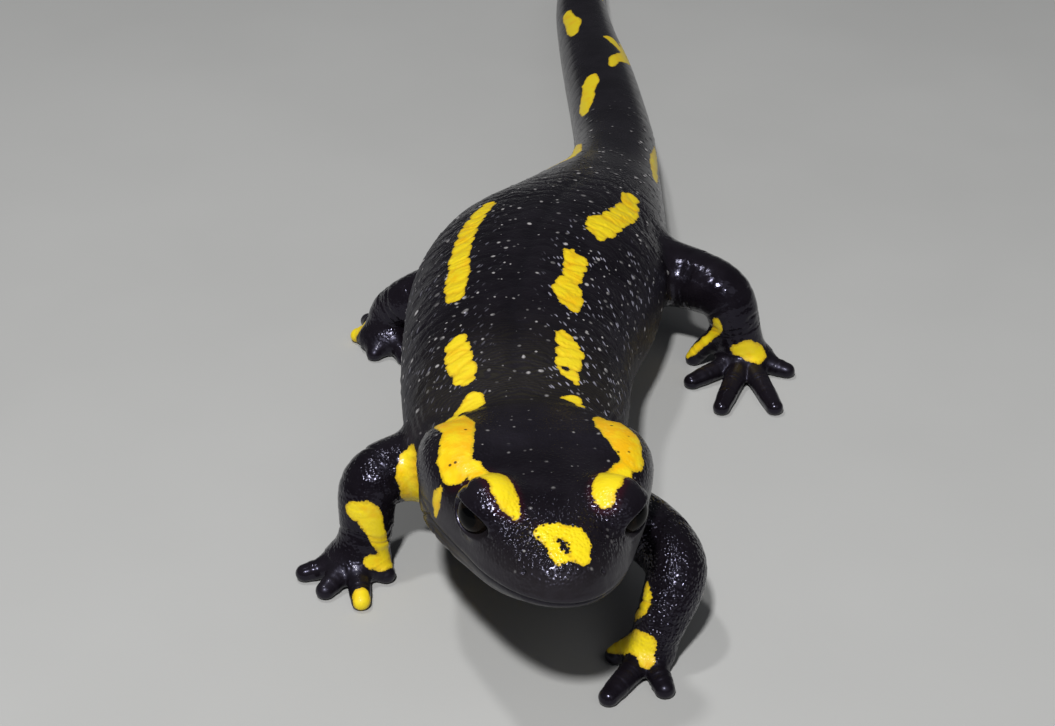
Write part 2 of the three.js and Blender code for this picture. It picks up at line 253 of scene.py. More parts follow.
def loft_distance(at, u, w, size, rate, square, ends):
    """Roughly the distance to a row of superellipses that rounds off at both ends.

    size and rate hold the half width, the height above and the depth below, and their slopes.
    """
    wide, high = size[:, 0], np.where(w > 0, size[:, 1], size[:, 2])
    high_rate = np.where(w > 0, rate[:, 1], rate[:, 2])
    au, aw = np.abs(u) / wide + 1e-6, np.abs(w) / high + 1e-6
    pu, pw = au**square, aw**square
    level = (pu + pw) ** (1 / square)
    steep = level ** (2 - square)
    across = steep * pu / au / wide
    upward = steep * pw / aw / high
    onward = -steep * (pu * rate[:, 0] / wide + pw * high_rate / high)
    (low, low_reach), (high_end, high_reach) = ends
    end = np.maximum(at - high_end, 0) / high_reach - np.maximum(low - at, 0) / low_reach
    onward += end / np.where(end > 0, high_reach, low_reach)
    total = np.hypot(level, end)
    slope = np.sqrt(across**2 + upward**2 + onward**2) / np.maximum(total, 1e-6)
    return (total - 1) / np.maximum(slope, 1e-3)


def trunk_distance(p):
    t, u, w, place, rate = spine_place(p)
    return loft_distance(t, u, w, place[:, 2:], rate[:, 2:], BODY_SQUARE, TRUNK_ENDS)


def ellipsoid_distance(q, half):
    """Roughly the distance to an ellipsoid of these half sizes."""
    level = lengths(q / half)
    return level * (level - 1) / np.maximum(lengths(q / half**2), 1e-6)


def head_distance(p):
    """Distance to the skull, the brows and the parotoid glands, with the eye openings cut."""
    q = to_head(p)
    size, rate = skull_at(-q[:, 1])
    d = loft_distance(-q[:, 1], q[:, 0], q[:, 2], size, rate, HEAD_SQUARE, SKULL_ENDS)
    left = on_left(q)
    brow = ellipsoid_distance(left - BROW_AT, BROW_HALF)
    gland = ellipsoid_distance((left - GLAND_AT) @ rotation("z", -GLAND_SPLAY), GLAND_HALF)
    d = smin(smin(d, brow, BROW_BLEND), gland, GLAND_BLEND)
    near = np.flatnonzero(lengths(left - EYE_AT) < 6)
    if len(near):
        d[near] = lidded(left[near] - EYE_AT, d[near])
    return d


def opening_edge(off):
    """The angle outside the eye opening's edge, in radians, and how high up on the eye it is."""
    way = off / np.maximum(lengths(off), 1e-6)[:, None]
    across = np.arctan2(way @ OPENING_AXES[0], way @ OPENING_AXES[1])
    up = np.arcsin(np.clip(way @ OPENING_AXES[2], -1, 1))
    reach = np.where(up > 0, OPENING_UP, OPENING_DOWN)
    long = np.where(across > 0, OPENING_BACK, OPENING_FRONT)
    level = np.hypot(across / long, up / reach)
    return (level - 1) * reach, up


def lidded(off, d):
    """The lids laid over the eyeball, and the opening between them cut."""
    far = lengths(off)
    edge, up = opening_edge(off)
    upper = np.clip(up * 3 + 0.5, 0, 1)
    d = smin(d, far - (EYE_RADIUS + LID + UPPER_LID_MORE * upper), LID_BLEND)
    rim = LOWER_RIM + (UPPER_RIM - LOWER_RIM) * upper
    ridge = np.hypot(edge * far - rim, far - EYE_RADIUS - LID * 0.6) - rim
    d = smin(d, ridge, RIM_BLEND)
    hole = smax(edge * far, EYE_RADIUS - 0.15 - far, 0.1)
    return smax(d, -hole, 0.14)


def catmull(points, steps):
    """Points along a centripetal Catmull-Rom curve at even steps of its length."""
    p = np.array(points, float)
    p = np.vstack([2 * p[0] - p[1], p, 2 * p[-1] - p[-2]])
    knots = np.concatenate([[0], np.cumsum(lengths(np.diff(p, axis=0)) ** 0.5)])
    dense = []
    for i in range(1, len(p) - 2):
        t = np.linspace(knots[i], knots[i + 1], 24, endpoint=i == len(p) - 3)[:, None]
        near, k = p[i - 1 : i + 3], knots[i - 1 : i + 3]
        # Neighbours are blended three times, each time between these knots.
        for spans in (((0, 1), (1, 2), (2, 3)), ((0, 2), (1, 3)), ((1, 2),)):
            near = [
                (k[b] - t) / (k[b] - k[a]) * near[j] + (t - k[a]) / (k[b] - k[a]) * near[j + 1]
                for j, (a, b) in enumerate(spans)
            ]
        dense.append(near[0])
    dense = np.vstack(dense)
    length = np.concatenate([[0], np.cumsum(lengths(np.diff(dense, axis=0)))])
    even = np.linspace(0, length[-1], steps)
    return np.stack([np.interp(even, length, dense[:, k]) for k in range(3)], -1)


def tube_distance(p, line, radii, squash=1.0):
    """Distance to a chain of round cones, and how far along it each point is, from 0 to 1."""
    best, along = np.full(len(p), 1e9), np.zeros(len(p))
    stretch = np.array([1, 1, 1 / squash])
    q, line = p * stretch, line * stretch
    count = len(line) - 1
    for i in range(count):
        a, ab = line[i], line[i + 1] - line[i]
        s = np.clip(((q - a) @ ab) / (ab @ ab), 0, 1)
        off = q - a - s[:, None] * ab
        d = np.sqrt((off * off).sum(1)) - (radii[i] + (radii[i + 1] - radii[i]) * s)
        near = d < best
        best = np.where(near, d, best)
        along = np.where(near, (i + s) / count, along)
    return best, along


KNUCKLE, TOE_JOINTS = 0.55, (0.5, 0.78)  # along a toe, from 0 at its root to 1 at its tip
TOE_TIP = 0.9  # how far before a toe's tip its line of middles ends


def limb_parts(limb):
    """The limb's tube, its sole, and its toes, as lines of points with a radius at each."""
    joints = np.array(limb["line"])
    line = catmull(joints, 28)
    even = np.linspace(0, 1, len(limb["girth"]))
    girth = smooth_columns(np.column_stack([even, limb["girth"]]))
    radii = girth(np.linspace(0, 1, len(line)))[0][:, 0]
    toes = []
    for i, tip in enumerate(limb["toes"]):
        start = joints[-1] if i else np.array(limb.get("inner", (joints[-1] + joints[3]) / 2))
        end = np.array([*tip, TOE_RADIUS / 2])
        knuckle = start + (end - start) * KNUCKLE
        if i:
            knuckle[2] = TOE_RADIUS
        end -= (end - knuckle) / np.linalg.norm(end - knuckle) * TOE_TIP
        end[2] = TOE_RADIUS * 0.72
        path = catmull([start, knuckle, end], 13)
        along = np.linspace(0, 1, len(path))
        joints_at = sum(bell(along - at, 0.08) for at in TOE_JOINTS)
        toes.append((path, TOE_RADIUS * (1.4 - 0.42 * along + 0.07 * joints_at)))
    return line, radii, joints[-1], np.array(limb["sole"]), toes


LIMB_PARTS = {name: limb_parts(limb) for name, limb in LIMBS.items()}


def limb_distance(p, name):
    """Distance to one limb with its sole and toes."""
    line, radii, foot, sole, toes = LIMB_PARTS[name]
    d, _ = tube_distance(p, line, radii)
    d = smin(d, ellipsoid_distance(p - foot, sole), SOLE_BLEND)
    digits = np.full(len(p), 1e3)
    for path, size in toes:
        digit, _ = tube_distance(p, path, size, TOE_SQUASH)
        digits = smin(digits, digit, WEB)
    return smin(d, digits, TOE_BLEND)


LIMB_MARGIN = 6  # how far around a limb its distance is worked out


def body_distance(p):
    """Distance to the whole animal's smooth shape, before its folds and creases."""
    d = smin(trunk_distance(p), head_distance(p), NECK_BLEND)
    for name, parts in LIMB_PARTS.items():
        outline = np.vstack([parts[0][:, :2], LIMBS[name]["toes"]])
        near = in_box(p[:, :2], outline, LIMB_MARGIN)
        if len(near):
            d[near] = smin(d[near], limb_distance(p[near], name), HIP_BLEND)
    return smax(d, -p[:, 2], FLOOR_BLEND)


# ---- from field to mesh
# Where the field is sampled: (position, step from here on), finer over the head.
GRID = {
    "x": [(-25.5, 0.3), (-9.0, 0.21), (13.2, 0.3), (30.3, 0)],
    "y": [(-45.5, 0.17), (-22.7, 0.32), (131.8, 0)],
    "z": [(-0.6, 0.21), (22.2, 0)],
}
BAND = 0.9  # how far from the surface the field's values are kept
BLOCK = 5  # samples along each side of a block that is skipped where no surface can be
BLOCK_REACH = 0.65  # from a block's middle, as a share of its diagonal: half, and some to spare


def grid_axis(stops):
    axis = [np.arange(a, b, step) for (a, step), (b, _) in zip(stops, stops[1:])]
    axis = np.concatenate(axis)
    return axis[: len(axis) // BLOCK * BLOCK]


def sampled(field, axes):
    """The field on a dense grid, worked out only near the surface."""

    def at(index):
        return np.stack([axis[index[:, k]] for k, axis in enumerate(axes)], -1)

    counts, block = np.array([len(axis) // BLOCK for axis in axes]), [BLOCK] * 3
    corners = np.argwhere(np.ones(counts)) * BLOCK
    low, high = at(corners), at(corners + BLOCK - 1)
    centre = field((low + high) / 2)
    near = np.abs(centre) < lengths(high - low) * BLOCK_REACH + BAND
    dense = np.repeat(np.sign(centre).astype(np.float32) * BAND, BLOCK**3).reshape(-1, *block)
    index = (corners[near][:, None, :] + np.argwhere(np.ones(block))).reshape(-1, 3)
    dense[near] = np.clip(field(at(index)), -BAND, BAND).reshape(-1, *block)
    dense = dense.reshape(*counts, *block).transpose(0, 3, 1, 4, 2, 5)
    return np.ascontiguousarray(dense.reshape(counts * BLOCK))


def surface(field):
    """The points and quads of the surface where the field is 0."""
    axes = [grid_axis(GRID[name]) for name in "xyz"]
    grid = openvdb.FloatGrid(BAND)
    grid.copyFromArray(sampled(field, axes))
    points, quads = grid.convertToQuads(0.0)
    points = np.stack(
        [np.interp(points[:, k], np.arange(len(axis)), axis) for k, axis in enumerate(axes)], -1
    )
    return points, quads.astype(np.int64)


def divided(points, quads):
    """Each quad cut into four."""
    pairs = np.stack([quads, np.roll(quads, -1, 1)], -1).reshape(-1, 2)
    pairs.sort(1)
    edges, back = np.unique(pairs[:, 0] * len(points) + pairs[:, 1], return_inverse=True)
    a, b = edges // len(points), edges % len(points)
    mids = (points[a] + points[b]) / 2
    centres = points[quads].mean(1)
    edge = back.reshape(-1, 4) + len(points)
    centre = np.arange(len(quads)) + len(points) + len(edges)
    small = np.stack([quads, edge, np.repeat(centre[:, None], 4, 1), np.roll(edge, 1, 1)], -1)
    return np.vstack([points, mids, centres]), small.reshape(-1, 4)


def normals_of(points, quads):
    """The normal at each point, weighted by the area of the quads around it."""
    across = points[quads[:, 2]] - points[quads[:, 0]]
    face = np.cross(across, points[quads[:, 3]] - points[quads[:, 1]])
    corners = quads.ravel()
    total = [np.bincount(corners, np.repeat(face[:, k], 4), len(points)) for k in range(3)]
    total = np.stack(total, -1)
    return total / np.maximum(lengths(total), 1e-12)[:, None]


def settled(points, quads, field, rounds=2):
    """The points moved along their normals onto the field's surface."""
    for _ in range(rounds):
        move = np.clip(field(points), -0.2, 0.2)
        points = points - normals_of(points, quads) * move[:, None]
    return points


points, quads = surface(body_distance)
above = points[:, 2] - points[:, 2].mean()
if (normals_of(points, quads)[:, 2] * above).sum() <= 0:  # the faces look inwards
    quads = quads[:, ::-1]
points, quads = divided(points, quads)
points = settled(points, quads, body_distance)


# ---- folds, creases and warts
def ripple(p, wave, seed):
    """A smooth random field, mostly from -1 to 1, with bumps about a wavelength apart."""
    random = np.random.default_rng(seed)
    total = np.zeros(len(p))
    for _ in range(9):
        way = random.normal(size=3)
        way *= 2 * math.pi * random.uniform(0.7, 1.4) / (wave * np.linalg.norm(way))
        total += np.sin(p @ way + random.uniform(0, 6.28))
    return total / 3


def pebbled(p, cell, seed):
    """Distance to the nearest of the points scattered one to a cell, and its number, 0 to 1."""
    q = p / cell
    base = np.floor(q).astype(np.int64)
    nearest, number = np.full(len(p), 9.0), np.zeros(len(p))
    for offset in np.ndindex(3, 3, 3):
        c = base + np.array(offset) - 1
        # A scrambled whole number for each cell, and four shares out of it.
        h = (c[:, 0] * 73856093) ^ (c[:, 1] * 19349663) ^ (c[:, 2] * 83492791) ^ (seed * 7919)
        parts = []
        for _ in range(4):
            h = (h * 1103515245 + 12345) & 0x7FFFFFFF
            h = h ^ (h >> 11)
            parts.append((h % 4093) / 4093)
        d = sum((c[:, k] + parts[k] - q[:, k]) ** 2 for k in range(3))
        closer = d < nearest
        nearest = np.where(closer, d, nearest)
        number = np.where(closer, parts[3], number)
    return np.sqrt(nearest) * cell, number


def window(x, low, high, soft):
    """1 between low and high, falling to 0 over a soft edge."""
    inside = np.clip(np.minimum(x - low, high - x) / soft + 0.5, 0, 1)
    return inside * inside * (3 - 2 * inside)


def to_nearest(x, period):
    """How far x is past the nearest whole number of periods."""
    return x - np.round(x / period) * period


def lifted(head_points):
    """Points of the head's own axes, given as x and y, put on top of the head."""
    q = np.column_stack([head_points, np.full(len(head_points), 9.0)])
    for _ in range(60):
        q[:, 2] -= head_distance(from_head(q)) * 0.7
    return from_head(q)


def on_back(places):
    """Points given as place along the spine and offset to the left, put on the upper side."""
    t, u = places[:, 0], places[:, 1]
    place, rate = spine_at(t)
    level = np.clip(np.abs(u) / place[:, 2], 0, 0.98) ** BODY_SQUARE
    w = place[:, 3] * (1 - level) ** (1 / BODY_SQUARE)
    side, upward = spine_frame(rate)
    middle = np.stack([place[:, 0], t, place[:, 1]], -1)
    return middle + side * u[:, None] + upward * w[:, None]


NOSTRIL = np.array([3.1, -7.0, 1.9])
LID_CREASE = EYE_AT + [-0.6, -2.1, -0.7]  # runs forwards from here
MOUTH_CORNER = 6.6
# How far behind the eyes the folds of the throat are, and how deep.
GULAR_FOLDS = ((6.5, 0.08), (10.5, 0.2), (14.5, 0.16))
# Spacings of the grooves between ribs, rings across the back, its fine creases, the tail's rings
COSTAL, WRINKLE, FINE_WRINKLE, TAIL_RING = 2.75, 2.05, 0.85, 2.9
NECK_FOLD = -16.5  # along the spine
# Where the creases are along a limb and along a toe, from 0 at the root to 1 at the tip.
LIMB_CREASES = {"front": [0.47, 0.5, 0.8, 0.83], "hind": [0.5, 0.53, 0.78, 0.81]}
TOE_CREASES = [0.5, 0.56, 0.76]
LIMB_GRAIN = {"front_left": 0.9, "front_right": 0.35, "hind_left": 0.14, "hind_right": 0.35}
SNOUT_GRAIN = np.array([-1.5, -6.0, 3.6])  # where the head's skin is grainiest
GRAIN_CELL, WART_CELL = 0.5, 0.92  # millimetres from one to the next
GRAIN_HEIGHT, WART_HEIGHT = 0.026, 0.07
# The flecks laid out along this slant are painted glints: short pale strokes in place of
# highlights.
GLINT_SLANT = 1.6  # how far sideways the flecks run for each millimetre backwards


def trunk_relief(p, t, u, w, place):
    """The trunk's and tail's folds, fine wrinkles, and the notches between its rings."""
    wide, high = place[:, 2], np.where(w > 0, place[:, 3], place[:, 4])
    around = np.arctan2(w / high, np.abs(u) / wide)
    wander = ripple(p, 7, 11)
    body, flank = window(t, -10, 24, 3), window(around, -1.1, 0.8, 0.5)
    top = window(around, 0.35, 3, 0.6)
    rib = to_nearest(t + 9 + 0.15 * w + 0.55 * wander, COSTAL)
    patchy = 0.6 + 0.4 * ripple(p, 4, 15)
    folds = -0.07 * body * flank * patchy * bell(rib, 0.36)
    folds -= 0.12 * window(t, -14, 30, 6) * bell(u + 0.2 * wander, 0.7)
    tail = window(t, 33, 127, 8)
    ring = to_nearest(t + 0.35 * wander, TAIL_RING)
    folds -= tail * 0.018 * window(around, -1.2, 0.9, 0.6) * bell(ring, 0.4)
    # The skin over the ribs hangs in loose folds low on the flank.
    sag = np.sin(w * 2.1 + 1.5 * ripple(p, 9, 12))
    folds += 0.03 * sag * body * window(around, -0.9, -0.05, 0.5)
    neck = window(t, -30, -13, 5)
    length = around * (wide + high) / 2
    folds += 0.04 * neck * window(around, -1.6, 0.7, 0.5) * np.sin(
        length * 5.6 + 0.5 * t + 1.6 * ripple(p, 5, 13)
    )
    folds -= 0.22 * bell(t - NECK_FOLD + 0.5 * wander, 0.55) * window(around, -1.6, 0.75, 0.5)
    # Soft rings of skin across the back, with narrow grooves that notch the yellow patches.
    on_rings = window(t, -24, 31, 3) * top
    slant = -0.38 * np.sqrt(u * u + 2)
    notch = bell(to_nearest(t - slant + 0.7 * ripple(p, 5, 14), WRINKLE), 0.3) * on_rings
    streak = to_nearest(t - slant + 0.5 * ripple(p, 3.5, 16), FINE_WRINKLE)
    fine = -0.045 * notch * (0.6 + 0.4 * patchy)
    loose = window(around, 0.45, 3, 0.5) * window(np.abs(u), 2.2, 20, 2) * window(t, -18, 24, 8)
    fine -= 0.05 * bell(streak, 0.2) * loose * window(ripple(p, 2.5, 17), 0, 9, 0.8)
    return folds, fine, notch


def head_relief(q, wander):
    """The mouth line, lips, nostrils, throat folds and the creases around the eyes."""
    left = on_left(q)
    x, y, z = left.T
    mouth = window(y, -12, MOUTH_CORNER, 1.6)
    lip = z + 0.08 + 0.03 * wander
    folds = -0.17 * mouth * bell(lip, 0.13) - 0.16 * mouth * window(lip, -1.3, -0.05, 0.5)
    folds += 0.05 * mouth * bell(lip - 0.42, 0.28)
    corner = y - MOUTH_CORNER
    folds -= 0.14 * bell(z + 0.1 + 0.45 * corner, 0.22) * window(corner, -0.3, 3.2, 0.8)
    from_nostril = lengths(left - NOSTRIL)
    folds += 0.05 * bell(from_nostril, 0.55) - 0.3 * bell(from_nostril, 0.2)
    below = window(z, -9, -1.2, 1.2)
    for back, depth in GULAR_FOLDS:
        folds -= depth * below * bell(y - back + 0.05 * x * x + 0.5 * wander, 0.4)
    # A fold under the gland.
    folds -= 0.1 * bell(np.hypot(x - 9.3, (z - 0.7) * 1.5) - 0.6, 0.2) * window(y, 6, 14, 3)
    # The fold behind the eye, then the crease that runs on from the eye's front corner.
    off = left - EYE_AT
    far = lengths(off)
    edge, _ = opening_edge(off)
    behind = window(off[:, 1], 0.2, 9, 1.2) * window(far, 0, EYE_RADIUS + 2.2, 1.0)
    folds -= 0.13 * behind * bell(edge * far - 0.85, 0.17)
    folds += 0.05 * behind * bell(edge * far - 1.3, 0.25)
    _, y, z = (left - LID_CREASE).T
    return folds - 0.06 * bell(z - 0.3 * y, 0.16) * window(y, -1.3, 0, 0.7)


def limb_relief(p, name, wander):
    """The creases over the limb's joints and along its toes, and how grainy its skin is."""
    line, radii, _, _, toes = LIMB_PARTS[name]
    best, along = tube_distance(p, line, radii)
    length = lengths(np.diff(line, axis=0)).sum()
    folds = np.zeros(len(p))
    for at in LIMB_CREASES[name.split("_")[0]]:
        folds -= 0.1 * bell((along - at) * length + 0.25 * wander, 0.2)
    folds -= 0.018 * (0.5 + 0.5 * np.sin(along * length * 6 + 3 * wander)) ** 2
    grainy = np.full(len(p), LIMB_GRAIN[name])
    for path, size in toes:
        toe, along = tube_distance(p, path, size, TOE_SQUASH)
        length = lengths(np.diff(path, axis=0)).sum()
        lines = sum(bell((along - at) * length, 0.14) for at in TOE_CREASES)
        folds = np.where(toe < best, -0.06 * lines, folds)
        grainy *= np.clip(1 - (best - toe) / 0.8, 0.12, 1)
        best = np.minimum(toe, best)
    return folds, grainy


def share(mine, others):
    """How far a point belongs to the first of two shapes, 0 to 1, by its distances to them."""
    return np.clip(0.5 + (others - mine) / 1.4, 0, 1)


def relief(p):
    """How far the skin stands out and where each point is, and what its look depends on."""
    wander = ripple(p, 3, 21)
    t, u, w, place, _ = spine_place(p)
    q, level = to_head(p), w / place[:, 3]
    trunk, head = trunk_distance(p), head_distance(p)
    limb = np.full(len(p), 50.0)
    limb_folds, limb_grain = np.zeros((2, len(p)))
    for name in LIMBS:
        near = np.flatnonzero(lengths(p - LIMB_PARTS[name][0].mean(0)) < 18)
        d = limb_distance(p[near], name)
        closer = d < limb[near]
        near = near[closer]
        limb[near] = d[closer]
        limb_folds[near], limb_grain[near] = limb_relief(p[near], name, wander[near])
    on_head = share(head, np.minimum(trunk, limb))
    on_limb = share(limb, np.minimum(trunk, head))
    on_trunk = (1 - on_head) * (1 - on_limb)
    folds, fine, notch = trunk_relief(p, t, u, w, place)
    lips = window(-q[:, 2], -2.6, 9, 3) * on_head * window(q[:, 1], -12, 10, 5)
    crown = window(q[:, 1], 0, 40, 7)
    coarse = on_head * (1 - 0.92 * lips) * (1 - 0.65 * crown) + on_limb * limb_grain
    coarse += 0.9 * on_head * bell(lengths(q - SNOUT_GRAIN), 2.8)
    coarse += on_trunk * 0.3 * window(t, -40, 34, 12)
    folds = folds * on_trunk + head_relief(q, wander) * on_head + limb_folds * on_limb
    off_floor = np.clip(p[:, 2] / 0.6, 0, 1)
    off_lids = np.clip(lengths(on_left(q) - EYE_AT) - EYE_RADIUS - 0.1, 0, 1)
    coarse *= off_lids
    grain_far, _ = pebbled(p, GRAIN_CELL, 3)
    grain = GRAIN_HEIGHT * (0.5 - grain_far / GRAIN_CELL) * coarse
    wart_far, wart_number = pebbled(p + 0.1 * wander[:, None], WART_CELL, 4)
    upper = window(level, -0.5, 2, 0.6) * on_trunk * window(t, -20, 60, 20)
    upper = np.maximum(upper, 0.6 * on_head * window(q[:, 2], 1.5, 9, 1))
    size = 0.14 + 0.22 * wart_number**3
    wart = np.clip(1.25 - wart_far / size, 0, 1) * upper * off_lids
    out = folds + fine * on_trunk + grain * off_floor + WART_HEIGHT * wart
    # Where the skin shines less: the nape, the back of the head and the flanks.
    flank = window(t, -22, 20, 6) * window(level, -1.5, 0.6, 0.7) * on_trunk
    rear = window(q[:, 1], 6.5, 40, 4) * window(np.abs(q[:, 0]), -1, 7, 2) * on_head
    nape = bell(t + 14, 7) * window(level, 0.5, 2, 0.5) * (1 - 0.6 * on_head)
    # Painted glints, short pale strokes in place of highlights, lie slantwise on the sides of the
    # back, mostly on the left.
    outward = np.abs(u) + 0.3 * np.clip(place[:, 3] - w, 0, 20)
    painted_glints = window(outward, 2.8, 30, 3) * window(t, -20, 17, 10) * window(level, 0.2, 2, 0.5)
    shape = dict(
        out=out * off_floor, notch=notch * on_trunk, on_head=on_head, on_limb=on_limb,
        t=t, level=level, q=q,
    )
    look = dict(
        # How deep each point lies in a fold; the colour is painted darker there as shade.
        crease=np.clip(-(folds + 1.6 * fine * on_trunk) / 0.16, 0, 1),
        wart=wart,
        grain=coarse,
        gloss=np.maximum(coarse, 0.7 * on_limb),
        lips=lips,
        rings=t + 0.5 * wander + 0.12 * np.abs(u),
        nape=nape,
        matt=np.maximum(np.maximum(nape, flank), rear),
        # Where the painted glints go, and the two coordinates of their slantwise lay.
        painted_glints=painted_glints * on_trunk * (0.35 + 0.65 * (u > 0)),
        glint_long=(outward - GLINT_SLANT * t) / 1.9,
        glint_wide=(GLINT_SLANT * outward + t) / 1.9 + 40 * (u > 0),
    )
    return shape, look


# ---- the yellow markings
# On the back and tail: place along the spine, offset to the animal's left, half width.
BACK_MARKS = [
    [(28, 5.9, 1.05), (26, 6.6, 1.2), (24, 6.9, 1.45), (22, 6.8, 1.45), (20, 6.5, 1.5),
     (18.3, 6, 1.8), (17, 6, 1.6), (16, 6.2, 1), (15, 6.4, 0.5)],
    [(10, 4.2, 0.75), (9, 4.8, 1.2), (8, 5, 1.3), (6.5, 5.05, 1.15), (5, 5, 1),
     (3.5, 4.8, 1.2), (2.3, 4.65, 1.55), (1, 4.95, 1.55), (0, 5.2, 1.25), (-1.2, 5.4, 0.7)],
    [(-6.2, 4.2, 0.6), (-7.5, 4.7, 1.1), (-9, 5, 1.4), (-10.5, 4.9, 1.3), (-11.7, 4.7, 1.2),
     (-13, 4.9, 0.85), (-14, 5.3, 0.5)],
    [(-17.2, 4.8, 0.75), (-18.2, 5.1, 0.55)],
    [(-17.4, 3.7, 0.2), (-17.3, 4.8, 0.6)],
    [(20, -6.6, 0.8), (18, -6.9, 1), (15, -7, 1.1), (12, -6.9, 1.1), (9, -6.7, 1.15),
     (6, -6.2, 1.2), (3, -6.1, 1.3), (1, -6, 1.05)],
    [(-6.8, -5.2, 0.8), (-8, -5.4, 1.3), (-10, -5.2, 1.35), (-12, -4.75, 1.3),
     (-13.2, -4.7, 1.15)],
    [(-16.2, -4.1, 0.9), (-17.3, -4.3, 1.2), (-17.6, -5.4, 0.5)],
    [(97, -2.5, 0.75), (95, -2.5, 0.9), (92, -2.1, 1.25), (90, -2.3, 1), (88, -2.4, 0.6)],
    [(89, 4.2, 0.5), (85, 3.8, 1), (81, 3.7, 1), (78.5, 3, 1.2), (76.5, 1.6, 0.8),
     (73.5, 0.9, 0.35)],
    [(85, 2, 0.9), (83.5, 2.5, 0.75), (81.5, 3.1, 0.7)],
    [(70.5, -1.8, 0.7), (68.5, -2.2, 1.2), (66.5, -2.6, 1), (64, -3, 1.15),
     (62, -3.3, 1.1), (60, -3.4, 0.6)],
    [(51, -4.7, 0.4), (47, -4.2, 0.8), (43, -3.9, 0.85), (39, -4.1, 0.7), (36.5, -5, 0.6),
     (34.5, -6, 0.4)],
    [(31.5, -7.2, 0.35), (30, -8, 0.35)],
    [(52, 4.7, 0.5), (48, 4.8, 0.85), (44, 5, 0.85), (41, 5.5, 0.65), (39, 5.9, 0.4)],
    [(108, 2, 0.8), (104, 2.4, 0.9)],
    [(113, -1.2, 0.7), (117, -0.8, 0.5)],
]
# On the head: to its left, backwards from the eyes, half width.
HEAD_MARKS = [
    [(-6.8, 16, 1.6), (-6.8, 12, 1.7), (-6.7, 10, 1.4), (-7.1, 8, 1.45), (-7.5, 6.3, 1.5),
     (-7.5, 5, 1.25)],
    [(-6.1, 4.9, 0.8), (-5.5, 3, 0.95), (-5.1, 1.6, 1.05), (-4.4, 0, 1.15), (-4.2, -1, 1.15),
     (-4, -2, 0.95), (-3.4, -2.7, 0.3)],
    [(6.9, 15, 1.2), (6.5, 13, 1.2), (6.6, 11, 1.5), (7.2, 9, 1.6), (7.4, 7.5, 1.4),
     (7.5, 6, 1.15)],
    [(6.4, 4.4, 1), (5.8, 3, 1.1), (5.3, 2, 1.15), (4.8, 1, 1.2), (4.3, 0, 1.2),
     (3.95, -1, 1.1), (3.85, -1.9, 0.8)],
    [(-1.5, -4.7, 0.6), (-0.5, -4.6, 0.65), (0, -5, 0.5)],
    [(0.5, -4.9, 0.6), (1.1, -5, 0.8), (1.3, -6, 0.95), (1.25, -6.9, 0.85)],
    [(-1.4, -5, 0.5), (-1, -5.8, 0.5), (-0.7, -6.6, 0.5), (-0.3, -7.2, 0.5),
     (0.5, -7.2, 0.3)],
]
# On the limbs and the cheek: places on the skin, and half width.
BODY_MARKS = [
    [(-9.6, -16.4, 11.6, 1), (-10.3, -16.9, 10.8, 1.15), (-10.7, -17.5, 9.6, 1.15),
     (-10.5, -17.6, 8, 1), (-10.3, -17, 6.4, 0.8)],
    [(-15.4, -19.3, 7.2, 0.9), (-14.4, -19.6, 7.1, 1.1), (-13.9, -19.8, 6.2, 1.05),
     (-13.5, -19.9, 5, 0.85), (-13.1, -19.8, 3.8, 0.75), (-12.9, -19.7, 2.8, 0.8)],
    [(-14, -20.7, 2.5, 0.7), (-13.3, -20.4, 2.2, 0.8), (-12.7, -19.8, 1.8, 0.7)],
    [(-14.7, -24.1, 1.2, 0.85), (-14.7, -25, 0.9, 0.85)],
    [(10, -29.9, 7, 0.3), (9.9, -31.1, 6.6, 0.65), (9.3, -31.5, 5.6, 0.75),
     (8.7, -31.3, 4.4, 0.4)],
    [(7.3, -31.6, 1.6, 0.7), (8.2, -32.3, 2.4, 0.9), (9.1, -32.8, 3, 1),
     (10, -33.5, 3, 1), (10.1, -34.1, 2.2, 0.75)],
    [(19.5, 15.3, 6.2, 0.55), (19.6, 15.4, 5.5, 0.65), (18.9, 16.1, 4.2, 0.52),
     (18.2, 16.6, 2.9, 0.5), (17.4, 16.9, 1.9, 0.5), (16.8, 17.3, 1.3, 0.5)],
    [(21.5, 14.3, 3.3, 0.8), (22.9, 14.1, 3.5, 1.2), (24.4, 14.6, 3.1, 1.2),
     (25.2, 14, 2.4, 0.5)],
    [(-17.3, 21.8, 1.9, 0.9), (-18.3, 22.2, 1.3, 1.25)],
    # Small patches that the photograph doesn't show: on the flanks and behind the thighs.
    [(10.6, 3, 5, 0.7), (10.9, 4.8, 4.6, 0.9), (10.8, 6.2, 4.8, 0.6)],
    [(-12.6, 8.5, 6.6, 0.6), (-12.4, 10.2, 7.2, 0.9), (-12, 11.8, 7, 0.5)],
    [(10.4, 30, 9.8, 0.7), (10.9, 28.6, 8.6, 0.8)],
]
CHEEK_MARK = [(-8.4, 5, 3.1, 0.4), (-8.75, 5.2, 2.4, 0.65), (-8.8, 5.3, 1.6, 0.6),
              (-8.6, 5.1, 0.8, 0.35)]
BACK_HOLE = [(-12.3, 4.4, 0.3)]  # the black dot in the third patch of the left row
NOSE_HOLE = [(-0.3, -5.6, 0.2), (0, -6.1, 0.27), (0.15, -6.6, 0.14)]  # inside the nose's ring


STROKE_BLEND = 0.35  # over how far strokes run together


def stroke_depth(p, strokes, outside=-1.5):
    """How deep inside the strokes each point is, in millimetres; below 0 outside them."""
    depth = np.full(len(p), outside)
    for stroke in strokes:
        line, radii = stroke[:, :3], stroke[:, 3]
        near = in_box(p, line, radii.max() - outside + 0.1)
        if len(line) > 1:
            d, _ = tube_distance(p[near], line, radii)
        else:
            d = lengths(p[near] - line[0]) - radii[0]
        depth[near] = smax(depth[near], -d, STROKE_BLEND)
    return depth


def strokes_on(lift, strokes):
    """The strokes, given in two numbers and a half width, as places on the skin."""
    return [np.column_stack([lift(s[:, :2]), s[:, 2]]) for s in map(np.array, strokes)]


